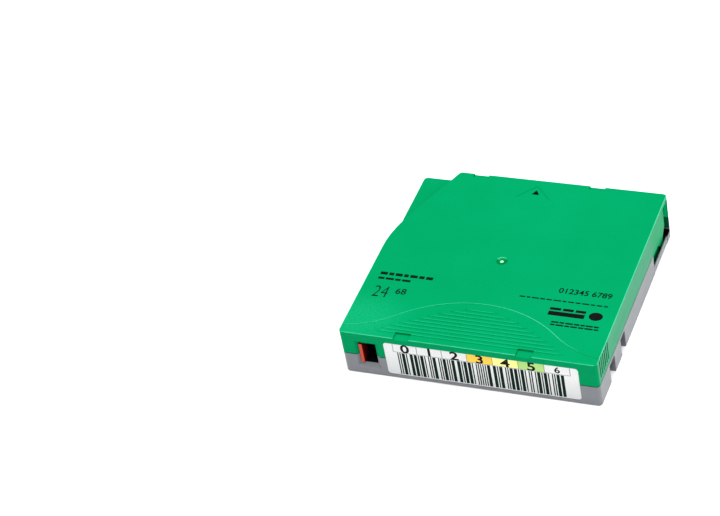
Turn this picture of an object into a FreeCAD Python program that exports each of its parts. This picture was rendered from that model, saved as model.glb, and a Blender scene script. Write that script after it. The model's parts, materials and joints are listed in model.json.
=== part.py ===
import FreeCAD, Part
import Sketcher
import math
import os

# Half-inch, single-reel data tape cartridge, as a parametric document.
#
# Frame: +Z up, +Y is the way the cartridge goes into a drive (the label face is at -Y), +X is to the right seen
# from the label side. The origin is the bottom centre of the case. All sizes are millimetres and live in the sheet
# "Dims"; every feature below takes its sizes from there by expression.

V = FreeCAD.Vector
doc = FreeCAD.newDocument("data_tape_cartridge")
sheet = doc.addObject("Spreadsheet::Sheet", "Dims")

LEAN = math.radians(22.0)          # the stepped corner's straight edge leans 22 degrees off +Y
SWEEP = 50.0                       # the radius that leads into it, centred on the case's cross axis
HW, HD = 105.4 / 2, 102.0 / 2

TABLE = [
    # case envelope
    ("case_width", 105.4), ("case_depth", 102.0), ("case_height", 21.5), ("case_corner", 1.7),
    ("wall", 1.6), ("door_wall", 1.0), ("floor_top", 1.6), ("roof_under", 19.9),
    ("part_high", 10.1), ("part_gap", 0.2),
    ("edge_round", 0.45), ("roof_round", 0.45), ("over", 1.0),
    # stepped corner
    ("plateau_top", 16.5), ("plateau_under", 15.0), ("sweep_radius", SWEEP), ("sweep_inner", SWEEP - 1.5),
    ("sweep_x", -HW + SWEEP * (1 - math.cos(LEAN))), ("sweep_y", SWEEP * math.sin(LEAN)),
    ("sweep_end_x", -HW + SWEEP * (1 - math.cos(LEAN)) + (HD - SWEEP * math.sin(LEAN)) * math.tan(LEAN)),
    ("inner_start_y", math.sqrt((SWEEP - 1.5) ** 2 - (51.1 - (HW - SWEEP)) ** 2)),
    ("inner_x", -(HW - SWEEP) - (SWEEP - 1.5) * math.cos(LEAN)), ("inner_y", (SWEEP - 1.5) * math.sin(LEAN)),
    ("inner_end_x", -(HW - SWEEP) - (SWEEP - 1.5) * math.cos(LEAN) + (49.4 - (SWEEP - 1.5) * math.sin(LEAN)) * math.tan(LEAN)),
    ("step_corner_round", 1.8),
    # thumb panel on the roof: a shallow bell-shaped field with fine ribs
    ("bell_depth", 0.2), ("bell_radius", 49.5), ("bell_turn_x", 31.5), ("bell_turn_y", -37.215),
    ("bell_flank_x", 33.0), ("bell_flank_y", -38.46), ("bell_flank_radius", 39.6), ("bell_end_x", 54.0),
    ("bell_end_y", -7.90 - math.sqrt(39.6 ** 2 - (58.19 - 54.0) ** 2)),
    ("rib_first_y", -47.5), ("rib_pitch", 1.95), ("rib_half", 0.40), ("rib_point", 3.0), ("crest_bevel", 0.11),
    ("rib_end_0", 38.5), ("rib_end_1", 36.5), ("rib_end_2", 33.6), ("rib_end_3", 30.4), ("rib_end_4", 27.2),
    ("rib_end_5", 24.0), ("rib_end_6", 20.6), ("rib_end_7", 16.8), ("rib_end_8", 12.2), ("rib_end_9", 7.0),
    # the reel's axis, which the gate mark and the notches share
    ("axis_x", -1.4),
    # roof notches, gate mark, chevron
    ("notch_x", 25.05), ("notch_half", 3.25), ("notch_reach", 3.6), ("notch_reach_far", 2.2), ("notch_deep", 0.9),
    ("gate_radius", 2.05), ("gate_deep", 0.7), ("gate_stub", 0.9), ("gate_stub_top", 21.2), ("gate_bevel", 0.3),
    ("chevron_x", -0.9), ("chevron_half", 7.2), ("chevron_low", 39.4), ("chevron_tip", 47.2), ("chevron_line", 0.42), ("chevron_deep", 0.12),
    # finger ridges on both sides of the upper shell
    ("ridge_first_y", -47.65), ("ridge_pitch", 2.06), ("ridge_wide", 0.9), ("ridge_deep", 0.8),
    ("ridge_low", 12.4), ("ridge_high", 21.0),
    # label and its recess
    ("label_left", -34.4), ("label_right", 44.9), ("label_low", 2.0), ("label_high", 18.3), ("label_round", 1.3),
    ("label_play", 0.15), ("label_recess", 0.25), ("label_thick", 0.15),
    # write-protect window and slider
    ("window_left", -45.45), ("window_right", -38.45), ("window_low", 5.6), ("window_high", 15.6),
    ("bevel_left", -46.7), ("bevel_right", -36.85), ("bevel_low", 4.1), ("bevel_high", 17.2), ("bevel_deep", 1.1),
    ("lip_thick", 0.15), ("lip_relief", 0.5),
    ("slider_left", -50.9), ("slider_join", -43.9), ("slider_low", 4.9), ("slider_high", 16.8),
    ("slider_front", -49.2), ("slider_thick", 1.0),
    ("tab_left", -45.35), ("tab_wide", 1.45), ("tab_front", -50.6), ("tab_long", 5.0), ("tab_low", 5.75), ("tab_high", 15.45),
    ("rail_near", -48.05), ("rail_far", -47.2), ("rail_end", -36.0), ("rail_low_top", 5.5), ("rail_ledge", 4.8),
    ("rail_high_under", 16.2),
    # side notches of the lower shell, for a library's gripper
    ("grip_deep", 2.4), ("grip_wall", 1.2), ("grip_high", 8.6), ("grip1_near", -37.65), ("grip1_far", -31.1), ("grip2_near", -22.5),
    ("grip2_far", -17.0),
    # door, its opening and spring
    ("gate_near", 26.0), ("gate_far", 49.7), ("gate_high", 20.0), ("pocket_near", -12.2), ("pocket_out", 51.7),
    ("sill_high", 3.9), ("sill_in", 52.3), ("sill_end", 45.1), ("toe_near", 45.7), ("toe_high", 2.9), ("sill_chamfer", 1.0), ("channel_in", 49.4), ("channel_low", 0.9),
    ("channel_near", 3.5), ("channel_far", 49.0), ("post_low", 5.0), ("post_in", 48.0),
    ("door_in", 49.9), ("door_mid", 51.0), ("door_out", 51.6), ("door_rear", 22.0), ("door_lead", 46.7),
    ("door_low", 1.1), ("door_high", 19.5), ("door_ledge", 6.2), ("door_foot_rear", 36.4), ("door_foot_near", 41.0),
    ("door_foot_far", 43.0), ("door_cut", 4.7), ("door_heel", 8.3),
    ("spigot_x", 50.4), ("spigot_z", 6.0), ("spigot_radius", 0.7), ("spigot_long", 2.8),
    ("spring_post_near", -13.6), ("spring_post_far", -12.2), ("spring_post_in", 49.0), ("spring_post_high", 8.2),
    ("door_spring_radius", 1.05), ("door_spring_wire", 0.14), ("door_spring_pitch", 1.55), ("door_spring_start", -12.0),
    ("door_spring_long", 33.8),
    ("guide_near", 4.0), ("guide_far", 24.0), ("guide_low_in", 48.7), ("guide_low_out", 49.3), ("guide_low_high", 4.0),
    ("guide_high_in", 49.1), ("guide_high_out", 49.7), ("guide_high_under", 17.6),
    # screws and bosses
    ("screw_x_near", 45.5), ("screw_y_near", -32.0), ("screw_x_far", 33.0), ("screw_y_far", 45.0),
    ("boss_low_radius", 3.2), ("boss_high_radius", 2.6), ("screw_pass", 1.15), ("screw_pilot", 1.0),
    ("screw_shank", 0.97), ("screw_seat", 3.0), ("screw_bore", 2.6), ("screw_head", 2.2), ("screw_head_thick", 1.3),
    ("screw_tip", 14.0), ("screw_tip_long", 1.2), ("screw_tip_end", 0.35), ("pilot_top", 15.5), ("drive_wide", 0.5), ("drive_long", 2.4), ("drive_deep", 0.7),
    # locating bores in the underside
    ("datum_x", -44.5), ("datum_y", 41.0), ("datum_radius", 2.5), ("datum_deep", 4.0), ("datum_boss", 4.0), ("datum_top", 5.2),
    # underside relief at the label edge
    ("relief_left", -26.0), ("relief_right", 16.5), ("relief_long", 12.0), ("relief_deep", 0.4),
    # reel opening and reel
    ("opening_radius", 18.2), ("opening_bevel", 19.2), ("boss_radius", 17.9), ("boss_low", 0.9), ("seat_radius", 21.5), ("seat_low", 1.7),
    ("flange_radius", 48.2), ("flange_low", 2.5), ("flange_thick", 1.0), ("hub_radius", 22.0), ("hub_inner", 20.0),
    ("hub_floor", 4.2), ("hub_top", 16.3), ("plate_in", 4.35), ("plate_out", 12.9), ("plate_low", 1.2), ("plate_high", 2.2),
    ("plate_play", 0.05), ("ring_in", 13.6), ("ring_out", 17.2), ("ring_root", 2.4), ("tooth_tip", 0.7),
    ("tooth_in", 13.5), ("tooth_out", 17.3), ("tooth_half", 0.38), ("teeth", 60), ("leg_count", 3), ("leg_circle", 15.4),
    ("leg_hole", 1.7), ("leg_radius", 1.3), ("leg_low", 1.9),
    ("lock_in", 17.9), ("lock_out", 20.2), ("lock_high", 5.7), ("lock_half", 0.40),
    ("collar_radius", 22.5), ("collar_top", 18.4),
    ("pack_in", 22.02), ("pack_out", 46.9), ("pack_low", 3.6), ("pack_high", 16.2),
    # brake button, its spring and the release pad
    ("brake_rim_out", 19.6), ("brake_rim_in", 17.7), ("brake_rim_low", 7.4), ("brake_low", 8.8), ("brake_top", 10.2),
    ("brake_post", 7.4), ("brake_post_top", 16.0), ("brake_tooth_low", 5.9), ("brake_tooth_in", 17.8), ("brake_tooth_out", 19.5),
    ("key_half", 6.2), ("key_wide", 1.15), ("roof_key_half", 6.0), ("roof_key_wide", 1.0), ("roof_key_under", 11.6),
    ("roof_boss", 8.9), ("roof_boss_under", 18.2),
    ("brake_spring_radius", 9.6), ("brake_spring_wire", 0.45), ("brake_spring_pitch", 1.95), ("brake_spring_low", 10.66),
    ("brake_spring_tall", 8.76),
    ("pad_low", 5.8), ("pad_high", 7.2), ("pad_disc", 5.0), ("pad_arm_half", 2.2), ("pad_arm_long", 16.9), ("pad_dome", 1.5),
    ("pad_dome_top", 8.7),
    # leader pin, its clip, its retaining spring and the tape's leader
    ("pin_x", 46.0), ("pin_y", 40.0), ("pin_low", 1.7), ("pin_high", 18.3), ("pin_head", 2.6), ("pin_neck", 1.3),
    ("pin_head_thick", 1.1), ("clip_in", 1.35), ("clip_out", 2.3), ("clip_low", 3.5), ("clip_high", 16.4), ("clip_slot", 0.9),
    ("leaf_back", 42.4), ("leaf_thick", 0.3), ("leaf_half", 2.95), ("leaf_low", 1.9), ("leaf_high", 18.1), ("leaf_arm", 5.2),
    ("leaf_arm_tall", 0.8), ("pin_rib_in", 41.0), ("pin_rib_out", 42.3), ("pin_rib_half", 2.0), ("pin_rib_low_top", 8.0),
    ("pin_rib_high_under", 12.0), ("pin_stop", 2.9), ("pin_stop_under", 18.4),
    ("leader_thick", 0.15), ("leader_low", 3.65), ("leader_tall", 12.5),
    # memory board in the corner, at 45 degrees
    ("board_x", 39.5), ("board_wide", 10.0), ("board_thick", 0.8), ("board_long", 10.0), ("board_y", -43.5), ("board_z", 6.2),
    ("chip_wide", 3.0), ("chip_thick", 0.4),
    ("gusset_thick", 0.8), ("gusset_left", 39.8), ("gusset_right", 48.4), ("gusset_near", -49.6), ("gusset_far", -40.0),
    ("gusset_low_far", 2.05), ("gusset_top_y", -47.0), ("gusset_top", 9.05),
]

VALUES = {}
for row, (alias, number) in enumerate(TABLE, start=1):
    text = repr(round(float(number), 5))
    sheet.set("A%d" % row, alias)
    sheet.set("B%d" % row, text)
    sheet.setAlias("B%d" % row, alias)
    VALUES[alias] = float(text)
doc.recompute()


class Size:
    """A number that remembers the sheet expression it came from."""

    def __init__(self, value, text):
        self.value, self.text = float(value), text

    @staticmethod
    def of(x):
        return x if isinstance(x, Size) else Size(x, "(%r)" % float(x) if x < 0 else "%r" % float(x))

    def __add__(self, o): o = Size.of(o); return Size(self.value + o.value, "(%s + %s)" % (self.text, o.text))
    def __radd__(self, o): return Size.of(o) + self
    def __sub__(self, o): o = Size.of(o); return Size(self.value - o.value, "(%s - %s)" % (self.text, o.text))
    def __rsub__(self, o): return Size.of(o) - self
    def __mul__(self, o): o = Size.of(o); return Size(self.value * o.value, "(%s * %s)" % (self.text, o.text))
    def __rmul__(self, o): return Size.of(o) * self
    def __truediv__(self, o): o = Size.of(o); return Size(self.value / o.value, "(%s / %s)" % (self.text, o.text))
    def __neg__(self): return Size(-self.value, "(0 - %s)" % self.text)


class Dimensions:
    def __getattr__(self, alias):
        return Size(VALUES[alias], "Dims." + alias)


d = Dimensions()
hw, hd, over = d.case_width / 2, d.case_depth / 2, d.over


# ---------------------------------------------------------------- helpers

def place(obj, x, y, z, axis=None, angle=0.0):
    x, y, z = Size.of(x), Size.of(y), Size.of(z)
    turn = FreeCAD.Rotation(axis, angle) if axis is not None else FreeCAD.Rotation()
    obj.Placement = FreeCAD.Placement(V(x.value, y.value, z.value), turn)
    for key, size in (("x", x), ("y", y), ("z", z)):
        obj.setExpression("Placement.Base." + key, size.text)


def bind(obj, **sizes):
    for key, size in sizes.items():
        size = Size.of(size)
        setattr(obj, key, size.value)
        obj.setExpression(key, size.text)


def body(name):
    b = doc.addObject("PartDesign::Body", name)
    b.Label = name
    return b


def plane(b, role):
    return next(o for o in b.Origin.OriginFeatures if o.Role == role)


def sketch(b, name, role, offset, paths):
    """Closed outlines. A path is a start point and then moves: ("l", x, y) or ("a", x, y, cx, cy, r, ccw). Every
    corner is dimensioned from the origin, and every arc by its radius."""
    sk = b.newObject("Sketcher::SketchObject", name)
    sk.AttachmentSupport = [(plane(b, role), "")]
    sk.MapMode = "FlatFace"
    offset = Size.of(offset)
    sk.setExpression(".AttachmentOffset.Base.z", offset.text)
    for path in paths:
        here, moves = path[0], list(path[1:])
        last = moves[-1]
        if abs(Size.of(last[1]).value - Size.of(here[0]).value) > 1e-6 or abs(Size.of(last[2]).value - Size.of(here[1]).value) > 1e-6:
            moves.append(("l", here[0], here[1]))
        ends, radii, corners = [], [], []
        for mv in moves:
            ax, ay = Size.of(here[0]), Size.of(here[1])
            bx, by = Size.of(mv[1]), Size.of(mv[2])
            a, c = V(ax.value, ay.value, 0), V(bx.value, by.value, 0)
            if mv[0] == "l":
                g = sk.addGeometry(Part.LineSegment(a, c), False)
                ends.append((g, 1, 2))
            else:
                cx, cy, r, ccw = Size.of(mv[3]).value, Size.of(mv[4]).value, Size.of(mv[5]), mv[6]
                a0, a1 = math.atan2(a.y - cy, a.x - cx), math.atan2(c.y - cy, c.x - cx)
                if not ccw:
                    a0, a1 = a1, a0
                while a1 < a0:
                    a1 += 2 * math.pi
                g = sk.addGeometry(Part.ArcOfCircle(Part.Circle(V(cx, cy, 0), V(0, 0, 1), r.value), a0, a1), False)
                ends.append((g, 1, 2) if ccw else (g, 2, 1))
                radii.append((g, r))
            corners.append((g, ends[-1][1], ax, ay))
            here = (mv[1], mv[2])
        for i in range(len(ends)):
            n = ends[(i + 1) % len(ends)]
            sk.addConstraint(Sketcher.Constraint("Coincident", ends[i][0], ends[i][2], n[0], n[1]))
        for g, vertex, x, y in corners:
            for kind, size in (("DistanceX", x), ("DistanceY", y)):
                k = sk.addConstraint(Sketcher.Constraint(kind, -1, 1, g, vertex, size.value))
                sk.setExpression("Constraints[%d]" % k, size.text)
        for g, r in radii:
            k = sk.addConstraint(Sketcher.Constraint("Radius", g, r.value))
            sk.setExpression("Constraints[%d]" % k, r.text)
    return sk


def rect(x0, x1, y0, y1):
    return [(x0, y0), ("l", x1, y0), ("l", x1, y1), ("l", x0, y1)]


def rrect(x0, x1, y0, y1, r):
    return [(x0 + r, y0), ("l", x1 - r, y0), ("a", x1, y0 + r, x1 - r, y0 + r, r, True),
            ("l", x1, y1 - r), ("a", x1 - r, y1, x1 - r, y1 - r, r, True),
            ("l", x0 + r, y1), ("a", x0, y1 - r, x0 + r, y1 - r, r, True),
            ("l", x0, y0 + r), ("a", x0 + r, y0, x0 + r, y0 + r, r, True)]


def pad(b, name, paths, low, high, role="XY_Plane"):
    f = b.newObject("PartDesign::Pad", name)
    f.Profile = sketch(b, name + "_outline", role, low, paths)
    bind(f, Length=Size.of(high) - low)
    return f


def pocket(b, name, paths, low, high, role="XY_Plane"):
    """Cuts from `high` down to `low`, against the outline plane's normal."""
    doc.recompute()
    before = b.Shape.Volume
    f = b.newObject("PartDesign::Pocket", name)
    f.Profile = sketch(b, name + "_outline", role, high, paths)
    bind(f, Length=Size.of(high) - low)
    doc.recompute()
    CUTS.append((b.Label, name, before, b.Shape.Volume))
    return f


def revolve(b, name, path):
    f = b.newObject("PartDesign::Revolution", name)
    sk = sketch(b, name + "_section", "XZ_Plane", 0, [path])
    f.Profile = sk
    f.ReferenceAxis = (sk, ["V_Axis"])
    f.Angle = 360.0
    return f


CUTS = []


def block(b, name, x0, x1, y0, y1, z0, z1, cut=False):
    x0, x1, y0, y1, z0, z1 = [Size.of(v) for v in (x0, x1, y0, y1, z0, z1)]
    f = b.newObject("PartDesign::SubtractiveBox" if cut else "PartDesign::AdditiveBox", name)
    bind(f, Length=x1 - x0, Width=y1 - y0, Height=z1 - z0)
    place(f, x0, y0, z0)
    return f


def rod(b, name, x, y, z0, z1, r, cut=False):
    z0, z1 = Size.of(z0), Size.of(z1)
    f = b.newObject("PartDesign::SubtractiveCylinder" if cut else "PartDesign::AdditiveCylinder", name)
    bind(f, Radius=r, Height=z1 - z0)
    place(f, x, y, z0)
    return f


def around(b, name, original, count):
    f = b.newObject("PartDesign::PolarPattern", name)
    f.Originals = [original]
    f.Axis = (plane(b, "Z_Axis"), [""])
    f.Angle = 360.0
    f.Occurrences = int(round(count.value))
    f.setExpression("Occurrences", count.text)
    b.Tip = f
    return f


def dress(b, name, kind, radius, keep):
    """A fillet or chamfer on the body's edges for which keep(edge) is true."""
    doc.recompute()
    base = b.Tip
    names = ["Edge%d" % (i + 1) for i, e in enumerate(base.Shape.Edges) if keep(e)]
    f = b.newObject("PartDesign::" + kind, name)
    f.Base = (base, names)
    bind(f, **{"Radius" if kind == "Fillet" else "Size": radius})
    doc.recompute()
    return f


def level(z):
    return lambda e: e.BoundBox.ZMin > z - 1e-4 and e.BoundBox.ZMax < z + 1e-4


def upright(x, y, tol=0.05):
    return lambda e: (abs(e.BoundBox.XMin - x) < tol and abs(e.BoundBox.XMax - x) < tol
                      and abs(e.BoundBox.YMin - y) < tol and abs(e.BoundBox.YMax - y) < tol)


# ---------------------------------------------------------------- features both shells share

def window(b):
    """The write-protect window: a square opening with a bevelled frame."""
    f = b.newObject("PartDesign::SubtractiveWedge", "window_bevel")
    bind(f, Xmin=d.bevel_left, Xmax=d.bevel_right, Zmin=d.bevel_low, Zmax=d.bevel_high, Ymin=-hd - 0.001,
         Ymax=-hd + d.bevel_deep, X2min=d.window_left, X2max=d.window_right, Z2min=d.window_low, Z2max=d.window_high)
    block(b, "window", d.window_left, d.window_right, -hd - over, -hd + d.wall + over, d.window_low, d.window_high, cut=True)
    block(b, "window_relief", d.window_left - d.lip_relief, d.window_right + d.lip_relief, -hd + d.bevel_deep + d.lip_thick,
          -hd + d.wall + over, d.window_low - d.lip_relief, d.window_high + d.lip_relief, cut=True)


def label_recess(b):
    p = d.label_play
    pocket(b, "label_recess", [rrect(d.label_left - p, d.label_right + p, d.label_low - p, d.label_high + p, d.label_round + p)],
           hd - d.label_recess, hd, "XZ_Plane")


def screw_places():
    return [("a", -d.screw_x_near, d.screw_y_near), ("b", d.screw_x_near, d.screw_y_near),
            ("c", d.screw_x_far, d.screw_y_far), ("d", -d.screw_x_far, d.screw_y_far)]


# ---------------------------------------------------------------- upper shell

B = body("upper_shell")
pad(B, "walls", [rrect(-hw, hw, -hd, hd, d.case_corner)], d.part_high, d.plateau_top)
dress(B, "plateau_edges", "Fillet", d.edge_round, level(16.5))
c = d.case_corner
pad(B, "roof", [[(-hw + c, -hd), ("l", hw - c, -hd), ("a", hw, -hd + c, hw - c, -hd + c, c, True),
                 ("l", hw, hd - c), ("a", hw - c, hd, hw - c, hd - c, c, True),
                 ("l", d.sweep_end_x, hd), ("l", d.sweep_x, d.sweep_y),
                 ("a", -hw, 0, -hw + d.sweep_radius, 0, d.sweep_radius, True),
                 ("l", -hw, -hd + c), ("a", -hw + c, -hd, -hw + c, -hd + c, c, True)]],
    d.plateau_top - over, d.case_height)
dress(B, "step_corner", "Fillet", d.step_corner_round,
      lambda e: upright(VALUES["sweep_end_x"], HD)(e) and e.BoundBox.ZMax > 20)
dress(B, "roof_edges", "Fillet", d.roof_round, level(21.5))
pocket(B, "inside", [[(-hw + d.wall, -hd + d.wall), ("l", hw - d.wall, -hd + d.wall), ("l", hw - d.wall, hd - d.wall),
                      ("l", d.inner_end_x, hd - d.wall), ("l", d.inner_x, d.inner_y),
                      ("a", -hw + d.wall, d.inner_start_y, -hw + d.sweep_radius, 0, d.sweep_inner, True)]],
       d.part_high - over, d.roof_under)
pocket(B, "inside_plateau", [rect(-hw + d.wall, hw - d.wall, -hd + d.wall, hd - d.wall)], d.part_high - over, d.plateau_under)
# doorway in the right wall, the thin wall the door slides behind, and the corner post that closes the doorway
block(B, "doorway", hw - d.wall - over, hw + over, d.gate_near, d.gate_far, d.part_high - over, d.gate_high, cut=True)
block(B, "door_pocket", hw - d.wall - over, d.pocket_out, d.pocket_near, d.gate_near + over, d.part_high - over, d.roof_under, cut=True)
corner = VALUES["case_corner"]
post_x = HW - corner + math.sqrt(corner ** 2 - (VALUES["gate_far"] - HD + corner) ** 2)
pad(B, "corner_post", [[(d.post_in, d.gate_far), ("l", post_x, d.gate_far), ("a", hw - c, hd, hw - c, hd - c, c, True),
                        ("l", d.post_in, hd)]], d.post_low, d.part_high + 0.2)
window(B)
label_recess(B)
# roof details
by = -7.90
pocket(B, "thumb_panel", [[(d.bell_end_x, -hd - over), ("l", d.bell_end_x, d.bell_end_y),
                           ("a", d.bell_flank_x, d.bell_flank_y, 58.19, by, d.bell_flank_radius, False),
                           ("l", d.bell_turn_x, d.bell_turn_y),
                           ("a", -d.bell_turn_x, d.bell_turn_y, 0, -75.4, d.bell_radius, True),
                           ("l", -d.bell_flank_x, d.bell_flank_y),
                           ("a", -d.bell_end_x, d.bell_end_y, -58.19, by, d.bell_flank_radius, False),
                           ("l", -d.bell_end_x, -hd - over)]],
       d.case_height - d.bell_depth, d.case_height + over)
ribs = []
for i in range(10):
    y, end = d.rib_first_y + i * d.rib_pitch, getattr(d, "rib_end_%d" % i)
    ribs.append([(-end, y), ("l", -end + d.rib_point, y - d.rib_half), ("l", end - d.rib_point, y - d.rib_half),
                 ("l", end, y), ("l", end - d.rib_point, y + d.rib_half), ("l", -end + d.rib_point, y + d.rib_half)])
pad(B, "thumb_ribs", ribs, d.case_height - d.bell_depth - 0.05, d.case_height)
doc.recompute()
crest = d.case_height.value


def on_panel(e):
    """Edges of the rib crests and of the panel's outline, at the height of the roof."""
    box = e.BoundBox
    if not level(crest)(e) or box.XMax - box.XMin < 1e-3:
        return False
    mid = e.valueAt((e.FirstParameter + e.LastParameter) / 2)
    inside = abs(mid.x) < 52.0 and -50.4 < mid.y < -25.0
    outline = len([v for v in e.Vertexes if abs(v.Point.y + hd.value) < 0.8]) == 2
    return inside and not outline


dress(B, "crest_bevels", "Chamfer", d.crest_bevel, on_panel)
for side, sign in (("left", -1), ("right", 1)):
    x = d.axis_x + sign * d.notch_x
    block(B, "notch_near_" + side, x - d.notch_half, x + d.notch_half, -hd - over, -hd + d.notch_reach,
          d.case_height - d.notch_deep, d.case_height + over, cut=True)
    block(B, "notch_far_" + side, x - d.notch_half, x + d.notch_half, hd - d.notch_reach_far, hd + over,
          d.case_height - d.notch_deep, d.case_height + over, cut=True)
rod(B, "gate_mark", d.axis_x, 0, d.case_height - d.gate_deep, d.case_height + over, d.gate_radius, cut=True)
dress(B, "gate_rim", "Chamfer", d.gate_bevel, lambda e: level(crest)(e) and e.BoundBox.XMax < 1.5 and e.BoundBox.XMin > -4.5
      and abs(e.BoundBox.YMax - VALUES["gate_radius"]) < 0.01)
rod(B, "gate_stub", d.axis_x, 0, d.case_height - d.gate_deep - 0.2, d.gate_stub_top, d.gate_stub)
dress(B, "gate_stub_round", "Fillet", 0.3, level(d.gate_stub_top.value))
e, lo, tip, w, m = d.chevron_half, d.chevron_low, d.chevron_tip, d.chevron_line, d.chevron_x
pocket(B, "chevron", [[(m - e, lo), ("l", m - e + w * 0.8, lo - w * 0.2), ("l", m, tip - w * 1.2), ("l", m + e - w * 0.8, lo - w * 0.2),
                       ("l", m + e, lo), ("l", m, tip)]], d.case_height - d.chevron_deep, d.case_height + over)
for i in range(6):
    y = d.ridge_first_y + i * d.ridge_pitch
    block(B, "ridge_right_%d" % i, hw - d.ridge_deep, hw + over, y - d.ridge_wide / 2, y + d.ridge_wide / 2, d.ridge_low, d.ridge_high, cut=True)
    block(B, "ridge_left_%d" % i, -hw - over, -hw + d.ridge_deep, y - d.ridge_wide / 2, y + d.ridge_wide / 2, d.ridge_low, d.ridge_high, cut=True)
# inside: seat for the brake spring, key that keeps the brake from turning, bosses, guides
deep = d.roof_under + 0.2
rod(B, "spring_seat", d.axis_x, 0, d.roof_boss_under, deep, d.roof_boss)
block(B, "key_a", d.axis_x - d.roof_key_half, d.axis_x + d.roof_key_half, -d.roof_key_wide, d.roof_key_wide, d.roof_key_under, deep)
block(B, "key_b", d.axis_x - d.roof_key_wide, d.axis_x + d.roof_key_wide, -d.roof_key_half, d.roof_key_half, d.roof_key_under, deep)
for tag, x, y in screw_places():
    rod(B, "boss_" + tag, x, y, d.part_high + 0.2, deep, d.boss_high_radius)
for tag, x, y in screw_places():
    rod(B, "pilot_" + tag, x, y, d.part_high - over, d.pilot_top, d.screw_pilot, cut=True)
block(B, "door_guide", d.guide_high_in, d.guide_high_out, d.guide_near, d.guide_far, d.guide_high_under, deep)
block(B, "pin_rib", d.pin_rib_in, d.pin_rib_out, d.pin_y - d.pin_rib_half, d.pin_y + d.pin_rib_half, d.pin_rib_high_under, deep)
rod(B, "pin_stop", d.pin_x, d.pin_y, d.pin_stop_under, deep, d.pin_stop)
block(B, "slider_rail", -hw + d.wall - 0.2, d.rail_end, d.rail_near, d.rail_far, d.rail_high_under, deep)
upper = B

# ---------------------------------------------------------------- lower shell

B = body("lower_shell")
top_side = d.part_high - d.part_gap
pad(B, "block", [rrect(-hw, hw, -hd, hd, d.case_corner)], 0, top_side)
dress(B, "bottom_edges", "Fillet", d.edge_round, level(0.0))
pocket(B, "inside", [rect(-hw + d.wall, hw - d.wall, -hd + d.wall, hd - d.wall)], d.floor_top, top_side + over)
# gripper notches: the wall steps in behind each of them
for side, sign in (("left", -1), ("right", 1)):
    for tag, near, far in (("one", d.grip1_near, d.grip1_far), ("two", d.grip2_near, d.grip2_far)):
        x_in, x_out = hw - d.grip_deep - d.grip_wall, hw - d.wall + 0.2
        a, z = (x_in, x_out) if sign > 0 else (-x_out, -x_in)
        block(B, "grip_back_%s_%s" % (tag, side), a, z, near - d.grip_wall, far + d.grip_wall, d.floor_top - 0.2, top_side)
for side, sign in (("left", -1), ("right", 1)):
    for tag, near, far in (("one", d.grip1_near, d.grip1_far), ("two", d.grip2_near, d.grip2_far)):
        a, z = (hw - d.grip_deep, hw + over) if sign > 0 else (-hw - over, -hw + d.grip_deep)
        block(B, "grip_%s_%s" % (tag, side), a, z, near, far, -over, d.grip_high, cut=True)
# doorway: a low sill, the channel the door's foot runs in, and the cut-away corner
block(B, "door_pocket", hw - d.wall - 0.5, d.pocket_out, d.pocket_near, d.gate_near + over, d.floor_top, top_side + over, cut=True)
block(B, "doorway", hw - d.wall - 0.5, hw + over, d.gate_near, d.gate_far, d.sill_high, top_side + over, cut=True)
block(B, "channel_under_wall", d.channel_in, d.pocket_out, d.channel_near, d.gate_near + 0.5, d.channel_low, d.sill_high + 0.5, cut=True)
block(B, "channel_at_sill", d.channel_in, d.sill_in, d.gate_near, d.sill_end, d.channel_low, d.sill_high + 0.5, cut=True)
block(B, "channel_end", d.channel_in, d.sill_in, d.sill_end - 0.1, d.gate_far, d.channel_low, top_side + over, cut=True)
block(B, "sill_gap", d.sill_in - 0.1, hw + over, d.sill_end, d.toe_near, d.channel_low, top_side + over, cut=True)
block(B, "toe_top", d.sill_in - 0.1, hw + over, d.toe_near - 0.1, d.gate_far, d.toe_high, top_side + over, cut=True)
k = d.sill_chamfer
pocket(B, "sill_underside", [[(hw - k * 0.75, -over), ("l", hw + over, -over), ("l", hw + over, k), ("l", hw, k), ("l", hw - k * 0.75, 0)]],
       -d.sill_end, -d.gate_near, "XZ_Plane")
block(B, "post_seat", d.post_in - 0.1, hw + over, hd - d.wall - 0.1, hd + over, d.post_low - d.part_gap, top_side + over, cut=True)
block(B, "spring_post", d.spring_post_in, hw - d.wall + 0.2, d.spring_post_near, d.spring_post_far, d.floor_top - 0.2, d.spring_post_high)
f = rod(B, "spring_spigot", 0, 0, 0, 1, d.spigot_radius)
bind(f, Height=d.spigot_long + 0.3)
place(f, d.spigot_x, d.spring_post_far - 0.3, d.spigot_z, V(1, 0, 0), -90)
block(B, "door_guide", d.guide_low_in, d.guide_low_out, d.guide_near, d.guide_far, d.floor_top - 0.2, d.guide_low_high)
block(B, "pin_rib", d.pin_rib_in, d.pin_rib_out, d.pin_y - d.pin_rib_half, d.pin_y + d.pin_rib_half, d.floor_top - 0.2, d.pin_rib_low_top)
# slider ledge and rail, memory board gussets
block(B, "slider_ledge", -hw + d.wall - 0.2, d.rail_end, -hd + d.wall - 0.2, d.rail_far, d.floor_top - 0.2, d.rail_ledge)
block(B, "slider_rail", -hw + d.wall - 0.2, d.rail_end, d.rail_near, d.rail_far, d.floor_top - 0.2, d.rail_low_top)
window(B)
label_recess(B)
for tag, x in (("left", d.gusset_left), ("right", d.gusset_right)):
    pad(B, "gusset_" + tag, [[(d.gusset_near, d.floor_top - 0.2), ("l", d.gusset_far, d.floor_top - 0.2),
                              ("l", d.gusset_far, d.gusset_low_far), ("l", d.gusset_top_y, d.gusset_top),
                              ("l", d.gusset_near, d.gusset_top)]], x, x + d.gusset_thick, "YZ_Plane")
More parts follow.
